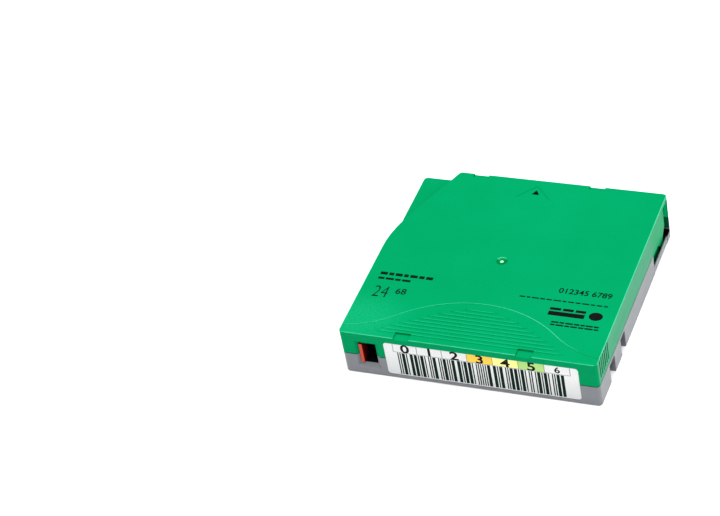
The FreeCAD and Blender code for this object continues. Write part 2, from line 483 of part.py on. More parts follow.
# bosses for screws and locating bores, then their holes
for tag, x, y in screw_places():
    rod(B, "boss_" + tag, x, y, d.floor_top - 0.2, top_side, d.boss_low_radius)
for tag, y in (("near", -d.datum_y), ("far", d.datum_y)):
    rod(B, "datum_boss_" + tag, d.datum_x, y, d.floor_top - 0.2, d.datum_top, d.datum_boss)
for tag, x, y in screw_places():
    rod(B, "counterbore_" + tag, x, y, -over, d.screw_seat, d.screw_bore, cut=True)
    rod(B, "pass_" + tag, x, y, -over, top_side + over, d.screw_pass, cut=True)
for tag, y in (("near", -d.datum_y), ("far", d.datum_y)):
    rod(B, "datum_bore_" + tag, d.datum_x, y, -over, d.datum_deep, d.datum_radius, cut=True)
rod(B, "reel_opening", d.axis_x, 0, -over, d.floor_top + over, d.opening_radius, cut=True)
f = B.newObject("PartDesign::SubtractiveCone", "opening_lead_in")
bind(f, Radius1=d.opening_bevel, Radius2=d.opening_radius, Height=d.opening_bevel - d.opening_radius)
place(f, d.axis_x, 0, -0.5)
block(B, "underside_relief", d.relief_left, d.relief_right, -hd - over, -hd + d.relief_long, -over, d.relief_deep, cut=True)
lower = B

# ---------------------------------------------------------------- label

B = body("front_label")
pad(B, "sheet_of_label", [rrect(d.label_left, d.label_right, d.label_low, d.label_high, d.label_round)],
    hd - d.label_recess, hd - d.label_recess + d.label_thick, "XZ_Plane")

# ---------------------------------------------------------------- write-protect slider

B = body("write_protect_slider")
block(B, "shutter", d.slider_left, d.slider_join, d.slider_front, d.slider_front + d.slider_thick, d.slider_low, d.slider_high)
block(B, "finger_tab", d.tab_left, d.tab_left + d.tab_wide, d.tab_front, d.tab_front + d.tab_long, d.tab_low, d.tab_high)
doc.recompute()
dress(B, "tab_edges", "Fillet", 0.15, lambda e: abs(e.BoundBox.YMin - VALUES["tab_front"]) < 1e-4 and abs(e.BoundBox.YMax - VALUES["tab_front"]) < 1e-4)

# ---------------------------------------------------------------- access door and its spring

B = body("access_door")
pad(B, "web", [[(d.door_rear, d.door_low), ("l", d.door_foot_far, d.door_low), ("l", d.door_foot_far, d.door_cut),
                ("l", d.door_lead, d.door_heel), ("l", d.door_lead, d.door_high), ("l", d.door_rear, d.door_high)]],
    d.door_in, d.door_mid, "YZ_Plane")
pad(B, "face", [[(d.door_rear, d.door_ledge), ("l", d.door_foot_rear, d.door_ledge), ("l", d.door_foot_near, d.door_low),
                 ("l", d.door_foot_far, d.door_low), ("l", d.door_foot_far, d.door_cut), ("l", d.door_lead, d.door_heel),
                 ("l", d.door_lead, d.door_high), ("l", d.door_rear, d.door_high)]], d.door_mid, d.door_out, "YZ_Plane")
f = rod(B, "spigot", 0, 0, 0, 1, d.spigot_radius)
bind(f, Height=d.spigot_long + 0.3)
place(f, d.spigot_x, d.door_rear + 0.3, d.spigot_z, V(1, 0, 0), 90)


def coil(name, role, radius, wire, pitch, tall):
    """A round-wire compression spring about the outline plane's vertical axis, from its origin up."""
    b = body(name)
    sk = b.newObject("Sketcher::SketchObject", "wire_section")
    sk.AttachmentSupport = [(plane(b, role), "")]
    sk.MapMode = "FlatFace"
    g = sk.addGeometry(Part.Circle(V(radius.value, 0, 0), V(0, 0, 1), wire.value), False)
    k = sk.addConstraint(Sketcher.Constraint("Radius", g, wire.value))
    sk.setExpression("Constraints[%d]" % k, wire.text)
    k = sk.addConstraint(Sketcher.Constraint("DistanceX", -1, 1, g, 3, radius.value))
    sk.setExpression("Constraints[%d]" % k, radius.text)
    sk.addConstraint(Sketcher.Constraint("PointOnObject", g, 3, -1))
    doc.recompute()
    f = b.newObject("PartDesign::AdditiveHelix", "coils")
    f.Profile = sk
    f.ReferenceAxis = (sk, ["V_Axis"])
    f.Mode = 0
    bind(f, Pitch=pitch, Height=tall)
    return b


B = coil("door_spring", "XY_Plane", d.door_spring_radius, d.door_spring_wire, d.door_spring_pitch, d.door_spring_long - d.door_spring_wire * 2)
place(B, d.spigot_x, d.door_spring_start + d.door_spring_wire, d.spigot_z)
B = coil("brake_spring", "XZ_Plane", d.brake_spring_radius, d.brake_spring_wire, d.brake_spring_pitch, d.brake_spring_tall)
place(B, d.axis_x, 0, d.brake_spring_low)

# ---------------------------------------------------------------- reel

B = body("reel_hub")
p = d.plate_play
revolve(B, "hub_and_flange", [(0, d.plate_low), ("l", d.plate_in - p, d.plate_low), ("l", d.plate_in - p, d.plate_high),
                              ("l", d.plate_out + p, d.plate_high), ("l", d.plate_out + p, d.plate_low),
                              ("l", d.ring_in, d.plate_low), ("l", d.ring_in, d.ring_root), ("l", d.ring_out, d.ring_root),
                              ("l", d.ring_out, d.boss_low), ("l", d.boss_radius, d.boss_low), ("l", d.boss_radius, d.seat_low),
                              ("l", d.seat_radius, d.seat_low), ("l", d.seat_radius, d.flange_low),
                              ("l", d.flange_radius, d.flange_low), ("l", d.flange_radius, d.flange_low + d.flange_thick),
                              ("l", d.hub_radius, d.flange_low + d.flange_thick), ("l", d.hub_radius, d.hub_top),
                              ("l", d.hub_inner, d.hub_top), ("l", d.hub_inner, d.hub_floor), ("l", 0, d.hub_floor)])
doc.recompute()
t = d.tooth_half
f = pad(B, "drive_tooth", [[(d.tooth_in, -t * 0.8), ("l", d.tooth_out, -t), ("l", d.tooth_out, t), ("l", d.tooth_in, t * 0.8)]],
        d.tooth_tip, d.ring_root + 0.1)
doc.recompute()
around(B, "drive_teeth", f, d.teeth)
t = d.lock_half
f = pad(B, "lock_tooth", [[(d.lock_in, -t), ("l", d.lock_out, -t), ("l", d.lock_out, t), ("l", d.lock_in, t)]],
        d.hub_floor - 0.1, d.lock_high)
doc.recompute()
around(B, "lock_teeth", f, d.teeth)
f = rod(B, "leg_hole", d.leg_circle, 0, -over, d.hub_floor + over, d.leg_hole, cut=True)
doc.recompute()
around(B, "leg_holes", f, d.leg_count)
place(B, d.axis_x, 0, 0)

B = body("reel_upper_flange")
z = d.hub_top
revolve(B, "flange", [(d.hub_inner, z), ("l", d.flange_radius, z), ("l", d.flange_radius, z + d.flange_thick),
                      ("l", d.collar_radius, z + d.flange_thick), ("l", d.collar_radius, d.collar_top), ("l", d.hub_inner, d.collar_top)])
place(B, d.axis_x, 0, 0)
B = body("clutch_plate")
revolve(B, "plate", [(d.plate_in, d.plate_low), ("l", d.plate_out, d.plate_low), ("l", d.plate_out, d.plate_high), ("l", d.plate_in, d.plate_high)])
place(B, d.axis_x, 0, 0)
B = body("tape_pack")
revolve(B, "winding", [(d.pack_in, d.pack_low), ("l", d.pack_out, d.pack_low), ("l", d.pack_out, d.pack_high), ("l", d.pack_in, d.pack_high)])
place(B, d.axis_x, 0, 0)

# ---------------------------------------------------------------- brake and release pad

B = body("brake_button")
revolve(B, "disc_rim_post", [(0, d.brake_low), ("l", d.brake_rim_in, d.brake_low), ("l", d.brake_rim_in, d.brake_rim_low),
                             ("l", d.brake_rim_out, d.brake_rim_low), ("l", d.brake_rim_out, d.brake_top),
                             ("l", d.brake_post, d.brake_top), ("l", d.brake_post, d.brake_post_top), ("l", 0, d.brake_post_top)])
block(B, "key_slot_a", -d.key_half, d.key_half, -d.key_wide, d.key_wide, d.brake_top, d.brake_post_top + over, cut=True)
block(B, "key_slot_b", -d.key_wide, d.key_wide, -d.key_half, d.key_half, d.brake_top, d.brake_post_top + over, cut=True)
doc.recompute()
half = math.radians(180.0 / 60)
ca, sa = math.cos(half), math.sin(half)
r0, r1, t = d.brake_tooth_in, d.brake_tooth_out, d.lock_half


def turned(r, s):
    return r * ca - s * sa, r * sa + s * ca


q = [turned(r0, -t), turned(r1, -t), turned(r1, t), turned(r0, t)]
f = pad(B, "brake_tooth", [[q[0], ("l",) + q[1], ("l",) + q[2], ("l",) + q[3]]], d.brake_tooth_low, d.brake_rim_low + 0.1)
doc.recompute()
around(B, "brake_teeth", f, d.teeth)
place(B, d.axis_x, 0, 0)

B = body("release_pad")
rod(B, "disc", 0, 0, d.pad_low, d.pad_high, d.pad_disc)
rod(B, "dome", 0, 0, d.pad_high - 0.2, d.pad_dome_top, d.pad_dome)
f = block(B, "arm", 0, d.pad_arm_long, -d.pad_arm_half, d.pad_arm_half, d.pad_low, d.pad_high)
doc.recompute()
around(B, "arms", f, d.leg_count)
f = rod(B, "leg", d.leg_circle, 0, d.leg_low, d.pad_low + 0.2, d.leg_radius)
doc.recompute()
around(B, "legs", f, d.leg_count)
place(B, d.axis_x, 0, 0)

# ---------------------------------------------------------------- leader pin group

B = body("leader_pin")
ht = d.pin_head_thick
revolve(B, "turned", [(0, d.pin_low), ("l", d.pin_head - 0.3, d.pin_low), ("l", d.pin_head, d.pin_low + 0.3),
                      ("l", d.pin_head, d.pin_low + ht), ("l", d.pin_neck, d.pin_low + ht), ("l", d.pin_neck, d.pin_high - ht),
                      ("l", d.pin_head, d.pin_high - ht), ("l", d.pin_head, d.pin_high - 0.3), ("l", d.pin_head - 0.3, d.pin_high),
                      ("l", 0, d.pin_high)])
place(B, d.pin_x, d.pin_y, 0)
B = body("leader_pin_clip")
rod(B, "sleeve", 0, 0, d.clip_low, d.clip_high, d.clip_out)
rod(B, "bore", 0, 0, d.clip_low - over, d.clip_high + over, d.clip_in, cut=True)
block(B, "slot", 0, d.clip_out + over, -d.clip_slot, d.clip_slot, d.clip_low - over, d.clip_high + over, cut=True)
place(B, d.pin_x, d.pin_y, 0)
B = body("pin_retaining_spring")
k = d.leaf_half
block(B, "web", d.leaf_back, d.leaf_back + d.leaf_thick, d.pin_y - k, d.pin_y + k, d.leaf_low, d.leaf_high)
for end, z0 in (("low", d.leaf_low), ("high", d.leaf_high - d.leaf_arm_tall)):
    block(B, "arm_near_" + end, d.leaf_back, d.leaf_back + d.leaf_arm, d.pin_y - k, d.pin_y - k + d.leaf_thick, z0, z0 + d.leaf_arm_tall)
    block(B, "arm_far_" + end, d.leaf_back, d.leaf_back + d.leaf_arm, d.pin_y + k - d.leaf_thick, d.pin_y + k, z0, z0 + d.leaf_arm_tall)
block(B, "web_window", d.leaf_back - over, d.leaf_back + d.leaf_thick + over, d.pin_y - k + 1.2, d.pin_y + k - 1.2, d.leaf_low + 1.2, d.leaf_high - 1.2, cut=True)

# the tape's free end: a flat strip from the pack, along its tangent, to the leader pin's clip
px, py, rr, ax = VALUES["pin_x"], VALUES["pin_y"], VALUES["pack_out"] + 0.15, VALUES["axis_x"]
reach = math.hypot(px - ax, py)
ang = math.atan2(py, px - ax) - math.acos(rr / reach)
tx, ty = ax + rr * math.cos(ang), rr * math.sin(ang)
run = math.hypot(px - tx, py - ty) - VALUES["clip_out"] - 0.05
strip = doc.addObject("Part::Box", "leader_tape")
strip.Label = "leader_tape"
strip.Length = run
bind(strip, Width=d.leader_thick, Height=d.leader_tall)
ux, uy = (px - tx) / math.hypot(px - tx, py - ty), (py - ty) / math.hypot(px - tx, py - ty)
side = VALUES["leader_thick"] / 2
strip.Placement = FreeCAD.Placement(V(tx + uy * side, ty - ux * side, VALUES["leader_low"]),
                                    FreeCAD.Rotation(V(0, 0, 1), math.degrees(math.atan2(uy, ux))))
strip.setExpression("Placement.Base.z", "Dims.leader_low")

# ---------------------------------------------------------------- memory board and chip

board = doc.addObject("Part::Box", "memory_board")
board.Label = "memory_board"
bind(board, Length=d.board_wide, Width=d.board_long, Height=d.board_thick)
s = math.sqrt(0.5)
half_l, half_t = VALUES["board_long"] / 2, VALUES["board_thick"] / 2
turn = FreeCAD.Rotation(V(1, 0, 0), -45)
corner = turn.multVec(V(0, -half_l, -half_t))
board.Placement = FreeCAD.Placement(V(VALUES["board_x"], VALUES["board_y"] + corner.y, VALUES["board_z"] + corner.z), turn)
board.setExpression("Placement.Base.x", "Dims.board_x")
chip = doc.addObject("Part::Box", "memory_chip")
chip.Label = "memory_chip"
bind(chip, Length=d.chip_wide, Width=d.chip_wide, Height=d.chip_thick)
corner = turn.multVec(V(0, -VALUES["chip_wide"] / 2, half_t))
chip.Placement = FreeCAD.Placement(V(VALUES["board_x"] + 3.5, VALUES["board_y"] + corner.y, VALUES["board_z"] + corner.z), turn)
chip.setExpression("Placement.Base.x", "Dims.board_x + 3.5")

# ---------------------------------------------------------------- four case screws, driven from below

screws = []
for tag, x, y in screw_places():
    seat = d.screw_seat
    head = doc.addObject("Part::Cylinder", "screw_head_" + tag)
    bind(head, Radius=d.screw_head, Height=d.screw_head_thick)
    place(head, x, y, seat - d.screw_head_thick)
    shank = doc.addObject("Part::Cylinder", "screw_shank_" + tag)
    bind(shank, Radius=d.screw_shank, Height=d.screw_tip - seat + 0.2)
    place(shank, x, y, seat - 0.2)
    point = doc.addObject("Part::Cone", "screw_tip_" + tag)
    bind(point, Radius1=d.screw_shank, Radius2=d.screw_tip_end, Height=d.screw_tip_long)
    place(point, x, y, d.screw_tip)
    whole = doc.addObject("Part::MultiFuse", "screw_blank_" + tag)
    whole.Shapes = [head, shank, point]
    arms = []
    for way, (lx, ly) in (("x", (d.drive_long, d.drive_wide)), ("y", (d.drive_wide, d.drive_long))):
        arm = doc.addObject("Part::Box", "screw_drive_%s_%s" % (way, tag))
        bind(arm, Length=lx, Width=ly, Height=d.drive_deep + over)
        place(arm, x - lx / 2, y - ly / 2, seat - d.screw_head_thick - over)
        arms.append(arm)
    cross = doc.addObject("Part::MultiFuse", "screw_drive_" + tag)
    cross.Shapes = arms
    screw = doc.addObject("Part::Cut", "screw_" + tag)
    screw.Base, screw.Tool = whole, cross
    screws.append(screw)
group = doc.addObject("Part::Compound", "case_screws")
group.Label = "case_screws"
group.Links = screws

# ---------------------------------------------------------------- check and write

NODES = ["upper_shell", "lower_shell", "front_label", "write_protect_slider", "access_door", "door_spring", "brake_spring",
         "reel_hub", "reel_upper_flange", "clutch_plate", "tape_pack", "brake_button", "release_pad", "leader_pin",
         "leader_pin_clip", "pin_retaining_spring", "leader_tape", "memory_board", "memory_chip", "case_screws"]
doc.recompute()
faults = []
for o in doc.Objects:
    if any(s in ("Invalid", "Error") for s in o.State):
        faults.append("%s is %s" % (o.Label, o.State))
for owner, name, before, after in CUTS:
    if not after < before - 1e-6:
        faults.append("%s: %s removed nothing" % (owner, name))
shapes = {}
for name in NODES:
    obj = doc.getObjectsByLabel(name)[0]
    shape = obj.Shape
    if shape.isNull() or not shape.isValid() or not shape.Solids:
        faults.append("%s has no valid shape" % name)
        continue
    shapes[name] = obj
    box = shape.optimalBoundingBox(False, False)
    print("%-22s solids %d  volume %9.2f  x %7.2f %7.2f  y %7.2f %7.2f  z %6.2f %6.2f" % (
        name, len(shape.Solids), shape.Volume, box.XMin, box.XMax, box.YMin, box.YMax, box.ZMin, box.ZMax))
if faults:
    raise SystemExit("\n".join(faults))
os.makedirs("parts", exist_ok=True)
for name, obj in shapes.items():
    obj.Shape.exportStep("parts/%s.step" % name)
print("written", len(shapes))
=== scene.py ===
import json
import math

import bpy
import numpy as np
from mathutils import Matrix, Vector


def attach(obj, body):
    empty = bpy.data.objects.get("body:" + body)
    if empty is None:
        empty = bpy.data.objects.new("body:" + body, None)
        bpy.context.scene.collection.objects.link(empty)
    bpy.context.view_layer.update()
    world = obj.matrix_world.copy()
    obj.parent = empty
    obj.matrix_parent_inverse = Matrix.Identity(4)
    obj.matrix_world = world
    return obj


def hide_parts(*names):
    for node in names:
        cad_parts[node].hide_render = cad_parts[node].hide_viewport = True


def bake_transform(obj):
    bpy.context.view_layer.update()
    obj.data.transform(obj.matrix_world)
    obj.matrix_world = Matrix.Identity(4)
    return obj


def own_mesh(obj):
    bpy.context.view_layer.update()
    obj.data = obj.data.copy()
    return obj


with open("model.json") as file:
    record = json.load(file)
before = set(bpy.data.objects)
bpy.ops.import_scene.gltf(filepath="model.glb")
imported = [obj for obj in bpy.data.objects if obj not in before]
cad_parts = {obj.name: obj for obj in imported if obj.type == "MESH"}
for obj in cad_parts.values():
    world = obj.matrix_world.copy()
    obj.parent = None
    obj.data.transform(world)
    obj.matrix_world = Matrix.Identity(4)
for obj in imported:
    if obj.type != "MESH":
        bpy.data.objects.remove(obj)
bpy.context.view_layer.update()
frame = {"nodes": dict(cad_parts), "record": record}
nodes = frame["nodes"]
MM = 0.001

scene = bpy.context.scene
scene.view_settings.view_transform = "Standard"
scene.view_settings.look = "High Contrast"
scene.view_settings.exposure = 0.0
scene.view_settings.gamma = 1.0


# ------------------------------------------------------------------ materials

def lin(r, g, b):
    """sRGB 0..255 to linear."""
    out = []
    for v in (r, g, b):
        v = v / 255.0
        out.append(v / 12.92 if v <= 0.04045 else ((v + 0.055) / 1.055) ** 2.4)
    return tuple(out)


class Nodes:
    """A small builder for node materials."""

    def __init__(self, name):
        self.mat = bpy.data.materials.new(name)
        self.mat.use_nodes = True
        self.t = self.mat.node_tree
        self.t.nodes.clear()
        self.out = self.t.nodes.new("ShaderNodeOutputMaterial")
        self.bsdf = self.t.nodes.new("ShaderNodeBsdfPrincipled")
        self.t.links.new(self.bsdf.outputs[0], self.out.inputs[0])
        self.coord = self.t.nodes.new("ShaderNodeTexCoord").outputs["Object"]

    def link(self, a, b):
        self.t.links.new(a, b)

    def put(self, socket, value):
        if hasattr(value, "is_output"):
            self.link(value, socket)
        else:
            socket.default_value = value

    def noise(self, scale, detail=3.0, rough=0.55, vector=None, distortion=0.0):
        n = self.t.nodes.new("ShaderNodeTexNoise")
        n.inputs["Scale"].default_value = scale
        n.inputs["Detail"].default_value = detail
        n.inputs["Roughness"].default_value = rough
        n.inputs["Distortion"].default_value = distortion
        self.link(vector if vector is not None else self.coord, n.inputs["Vector"])
        return n.outputs["Fac"]

    def stretch(self, scale):
        m = self.t.nodes.new("ShaderNodeMapping")
        m.inputs["Scale"].default_value = scale
        self.link(self.coord, m.inputs["Vector"])
        return m.outputs["Vector"]

    def xyz(self):
        s = self.t.nodes.new("ShaderNodeSeparateXYZ")
        self.link(self.coord, s.inputs[0])
        return s.outputs

    def math(self, op, a, b=0.0, c=0.0, clamp=False):
        m = self.t.nodes.new("ShaderNodeMath")
        m.operation = op
        m.use_clamp = clamp
        self.put(m.inputs[0], a)
        self.put(m.inputs[1], b)
        self.put(m.inputs[2], c)
        return m.outputs[0]

    def ramp(self, fac, low, high, to_low=0.0, to_high=1.0, smooth=False):
        m = self.t.nodes.new("ShaderNodeMapRange")
        m.interpolation_type = "SMOOTHSTEP" if smooth else "LINEAR"
        m.clamp = True
        self.put(m.inputs["Value"], fac)
        m.inputs["From Min"].default_value = low
        m.inputs["From Max"].default_value = high
        m.inputs["To Min"].default_value = to_low
        m.inputs["To Max"].default_value = to_high
        return m.outputs["Result"]

    def mix(self, fac, a, b):
        m = self.t.nodes.new("ShaderNodeMix")
        m.data_type = "RGBA"
        self.put(m.inputs[0], fac)
        for socket, v in ((m.inputs[6], a), (m.inputs[7], b)):
            self.put(socket, v if hasattr(v, "is_output") else (v[0], v[1], v[2], 1.0))
        return m.outputs[2]

    def bump(self, height, strength, distance):
        b = self.t.nodes.new("ShaderNodeBump")
        b.inputs["Strength"].default_value = strength
        b.inputs["Distance"].default_value = distance
        self.put(b.inputs["Height"], height)
        return b.outputs["Normal"]


AXIS_X = -0.0014               # the reel's axis, which the gate mark shares


def near(n, value, centre, half, soft):
    """1 where value is within half of centre, fading to 0 over soft."""
    return n.ramp(n.math("ABSOLUTE", n.math("SUBTRACT", value, centre)), half, half + soft, 1.0, 0.0)


def edge_highlight_mask(n, rim):
    """1 along the case's outer edges, where a painted highlight lightens the plastic; 0 elsewhere."""
    x, y, z = n.xyz()[0:3]
    ax = n.math("ABSOLUTE", x)
    ay = n.math("ABSOLUTE", y)
    az = n.math("ABSOLUTE", n.math("SUBTRACT", z, 0.01075))
    fx = n.ramp(ax, 0.0527 - rim, 0.0527, smooth=True)
    fy = n.math("MULTIPLY", n.ramp(ay, 0.0510 - rim, 0.0510, smooth=True), n.ramp(y, -0.01, 0.01, 1.0, 0.35))
    fz = n.ramp(az, 0.01075 - rim, 0.01075, smooth=True)
    a = n.math("MULTIPLY", n.math("MULTIPLY", fx, fy), 0.3)
    b = n.math("MULTIPLY", fy, fz)
    c = n.math("MULTIPLY", fx, fz)
    return n.math("MAXIMUM", n.math("MAXIMUM", a, b), c)


def plastic(name, base, light=None, dark=None, rough=0.45, ior=1.35, grain=0.000035, wear=0.0, edge=0.0, spec=0.5, highlight_tone=None, sheen=0.0, details=None):
    """Moulded plastic: a fine spark-eroded grain, faint flow mottling, and painted highlights that lighten the edges.
    """
    n = Nodes(name)
    light = light or tuple(min(1.0, c * 1.06 + 0.004) for c in base)
    dark = dark or tuple(c * 0.94 for c in base)
    cloud = n.noise(28.0, 3.0)
    speck = n.noise(2600.0, 2.0, 0.6)
    tone = n.mix(n.ramp(cloud, 0.3, 0.7), dark, light)
    tone = n.mix(n.ramp(speck, 0.35, 0.65, 0.0, 0.35), tone, tuple(c * 0.86 for c in base))
    # painted highlight: the outer edges are painted lighter, standing in for the light their rounded fillets catch
    if edge:
        edge_highlight = n.math("MULTIPLY", edge_highlight_mask(n, 0.00050), n.ramp(n.noise(220.0, 4.0), 0.3, 0.6, 0.7, 1.0))
        tone = n.mix(n.math("MULTIPLY", edge_highlight, edge), tone, highlight_tone or tuple(min(1.0, c * 1.2 + 0.05) for c in base))
    if details:
        tone = details(n, tone)
    n.put(n.bsdf.inputs["Base Color"], tone)
    smear = n.noise(60.0, 5.0, 0.6)
    n.put(n.bsdf.inputs["Roughness"], n.math("ADD", n.ramp(smear, 0.25, 0.75, rough - 0.05, rough + 0.06), n.ramp(speck, 0.3, 0.7, -0.02, 0.02)))
    n.bsdf.inputs["IOR"].default_value = ior
    n.bsdf.inputs["Specular IOR Level"].default_value = spec
    n.bsdf.inputs["Sheen Weight"].default_value = sheen
    n.bsdf.inputs["Sheen Roughness"].default_value = 0.35
    height = n.math("ADD", speck, n.math("MULTIPLY", n.noise(900.0, 2.0), 0.6))
    n.put(n.bsdf.inputs["Normal"], n.bump(height, 0.5, grain))
    return n.mat


def steel(name, base, rough=0.3, lines=(4000.0, 40.0, 4000.0)):
    n = Nodes(name)
    brushed = n.noise(1.0, 3.0, 0.6, vector=n.stretch(lines))
    tarnish = n.noise(180.0, 4.0)
    n.put(n.bsdf.inputs["Base Color"], n.mix(n.ramp(tarnish, 0.3, 0.75), base, tuple(c * 0.82 for c in base)))
    n.bsdf.inputs["Metallic"].default_value = 1.0
    n.put(n.bsdf.inputs["Roughness"], n.math("ADD", n.ramp(brushed, 0.3, 0.7, rough - 0.06, rough + 0.08), n.ramp(tarnish, 0.3, 0.7, 0.0, 0.06)))
    n.put(n.bsdf.inputs["Normal"], n.bump(brushed, 0.3, 0.00002))
    return n.mat


GREEN = (0.0006, 0.325, 0.150)


def roof_details(n, tone):
    """Painted light and shade on the green shell: painted highlights on the rib crests, the panel's outline and the
    gate mark, a painted sheen on the sides, painted light inside the doorway and the small window, and painted shade
    along the seam and in the gate mark's dish; also a duller, more speckled near left corner.
    """
    x, y, z = n.xyz()[0:3]
    # the ribs lie inside the bell-shaped field
    dx, dy = n.math("MULTIPLY", x, x), n.math("ADD", y, 0.0754)
    inside = n.ramp(n.math("SQRT", n.math("ADD", dx, n.math("MULTIPLY", dy, dy))), 0.0489, 0.0491, 1.0, 0.0)
    inside = n.math("MULTIPLY", inside, n.ramp(y, -0.0502, -0.0498))
    phase = n.math("FRACT", n.math("DIVIDE", n.math("ADD", y, 0.0475 + 0.00195 * 20.5), 0.00195))
    # painted highlight: the rib crests are painted lighter where they would catch the light
    crest_highlight = n.math("MULTIPLY", near(n, phase, 0.56, 0.08, 0.10), n.ramp(z, 0.02142, 0.02148))
    spread = n.ramp(n.noise(300.0, 2.0), 0.3, 0.6, 0.7, 1.0)
    tone = n.mix(n.math("MULTIPLY", n.math("MULTIPLY", crest_highlight, inside), n.math("MULTIPLY", spread, 0.38)), tone, (0.050, 0.50, 0.30))
    # painted highlight along the panel's outline, strongest on its right flank
    ax = n.math("ABSOLUTE", x)
    r0 = n.math("SQRT", n.math("ADD", n.math("MULTIPLY", x, x), n.math("MULTIPLY", n.math("ADD", y, 0.0754), n.math("ADD", y, 0.0754))))
    fx, fy = n.math("SUBTRACT", ax, 0.05819), n.math("ADD", y, 0.0079)
    r1 = n.math("SQRT", n.math("ADD", n.math("MULTIPLY", fx, fx), n.math("MULTIPLY", fy, fy)))
    arc = n.math("MULTIPLY", near(n, r0, 0.04966, 0.00012, 0.00010), n.ramp(ax, 0.0320, 0.0326, 1.0, 0.0))
    flank = n.math("MULTIPLY", near(n, r1, 0.03943, 0.00012, 0.00010), n.ramp(ax, 0.0320, 0.0326))
    outline_highlight = n.math("MULTIPLY", n.math("MAXIMUM", arc, flank), n.ramp(x, -0.004, 0.026, 0.34, 0.62))
    outline_highlight = n.math("MULTIPLY", n.math("MULTIPLY", outline_highlight, n.ramp(x, 0.033, 0.045, 1.0, 0.10)), n.ramp(z, 0.0212, 0.02135))
    outline_highlight = n.math("MULTIPLY", outline_highlight, n.math("MULTIPLY", n.ramp(y, -0.0470, -0.0466), n.ramp(y, -0.0240, -0.0230, 1.0, 0.0)))
    tone = n.mix(outline_highlight, tone, (0.16, 0.68, 0.46))
    # painted sheen: the sides are painted paler, standing in for their whitish grazing reflection
    side_sheen = n.math("MULTIPLY", n.ramp(n.math("ABSOLUTE", x), 0.05256, 0.05267), n.ramp(n.noise(90.0, 4.0, vector=n.stretch((1.0, 0.35, 2.0))), 0.3, 0.65, 0.75, 1.0))
    tone = n.mix(side_sheen, tone, (0.120, 0.395, 0.250))
    # painted light: inside the doorway and the small window the green is painted lighter, standing in for light
    # passing through the thin walls
    doorway_light = n.math("MULTIPLY", n.ramp(x, 0.0462, 0.0468), n.ramp(x, 0.05215, 0.05225, 1.0, 0.0))
    doorway_light = n.math("MULTIPLY", n.math("MULTIPLY", doorway_light, n.ramp(y, 0.0180, 0.0184)), n.ramp(y, 0.0502, 0.0505, 1.0, 0.0))
    doorway_light = n.math("MULTIPLY", doorway_light, n.ramp(z, 0.02040, 0.02050, 1.0, 0.0))
    small = n.math("MULTIPLY", n.math("MULTIPLY", near(n, x, -0.0415, 0.0045, 0.0005), n.ramp(y, -0.04975, -0.04965)), n.ramp(y, -0.0300, -0.0290, 1.0, 0.0))
    small = n.math("MULTIPLY", small, n.ramp(z, 0.02040, 0.02050, 1.0, 0.0))
    tone = n.mix(n.math("MULTIPLY", n.math("MAXIMUM", doorway_light, small), 0.95), tone, (0.002, 0.80, 0.36))
    # painted shade along the seam between the shells
    tone = n.mix(n.math("MULTIPLY", n.ramp(z, 0.01018, 0.01040, 1.0, 0.0), 0.75), tone, (0.004, 0.060, 0.036))
    # the near left corner, where it is gripped, is duller and more speckled
    cx, cy = n.math("ADD", x, 0.047), n.math("ADD", y, 0.042)
    away = n.math("SQRT", n.math("ADD", n.math("MULTIPLY", cx, cx), n.math("MULTIPLY", n.math("MULTIPLY", cy, cy), 1.6)))
    grip = n.math("MULTIPLY", n.ramp(away, 0.003, 0.026, 1.0, 0.0, smooth=True), n.ramp(n.noise(1300.0, 2.0, 0.7), 0.38, 0.62, 0.35, 1.0))
    grip = n.math("MULTIPLY", grip, n.ramp(z, 0.0208, 0.0212))
    tone = n.mix(n.math("MULTIPLY", grip, 0.42), tone, (0.040, 0.50, 0.27))
    # the gate mark: painted shade in the dish, a stub both stress-whitened and lightened by a painted highlight, and a
    # painted highlight on the far rim
    gx = n.math("SUBTRACT", x, AXIS_X)
    rho = n.math("SQRT", n.math("ADD", n.math("MULTIPLY", gx, gx), n.math("MULTIPLY", y, y)))
    high = n.ramp(z, 0.0200, 0.0202)
    dish_shade = n.math("MULTIPLY", n.ramp(rho, 0.00200, 0.00212, 1.0, 0.0), high)
    tone = n.mix(n.math("MULTIPLY", dish_shade, 0.75), tone, (0.0004, 0.235, 0.055))
    whitened_stub_highlight = n.math("MULTIPLY", n.math("MULTIPLY", n.ramp(rho, 0.00072, 0.00092, 1.0, 0.0), high), n.ramp(z, 0.02095, 0.0211))
    tone = n.mix(n.math("MULTIPLY", whitened_stub_highlight, n.ramp(n.noise(1500.0, 2.0), 0.3, 0.7, 0.80, 1.0)), tone, (0.42, 0.83, 0.58))
    rim = n.math("MULTIPLY", near(n, rho, 0.00218, 0.00016, 0.00012), n.ramp(y, 0.0006, 0.0012))
    rim = n.math("MULTIPLY", n.math("MULTIPLY", rim, n.ramp(gx, 0.0010, 0.0018, 1.0, 0.0)), high)
    return n.mix(n.math("MULTIPLY", rim, 0.9), tone, (0.10, 0.60, 0.35))


def slider_details(n, tone):
    """Painted shade: only the tab's front keeps the plain red; behind it the red is painted darker, fading to near
    black deeper in the case.
    """
    x, y, z = n.xyz()[0:3]
    deep_shade = n.math("MULTIPLY", n.ramp(y, -0.0502, -0.0444), n.ramp(n.noise(400.0, 3.0), 0.3, 0.7, 0.93, 1.0))
    side = n.ramp(y, -0.05058, -0.05050)
    tone = n.mix(n.math("MULTIPLY", side, 0.80), tone, (0.20, 0.007, 0.006))
    return n.mix(deep_shade, tone, (0.016, 0.003, 0.002))


def label_details(n, tone):
    """The label is painted a little darker toward its lower edge: painted shade."""
    x, y, z = n.xyz()[0:3]
    lower_shade = n.math("MULTIPLY", n.ramp(z, 0.0015, 0.0135, 1.0, 0.0), n.ramp(n.noise(120.0, 3.0), 0.3, 0.7, 0.8, 1.0))
    return n.mix(n.math("MULTIPLY", lower_shade, 0.5), tone, (0.50, 0.51, 0.525))


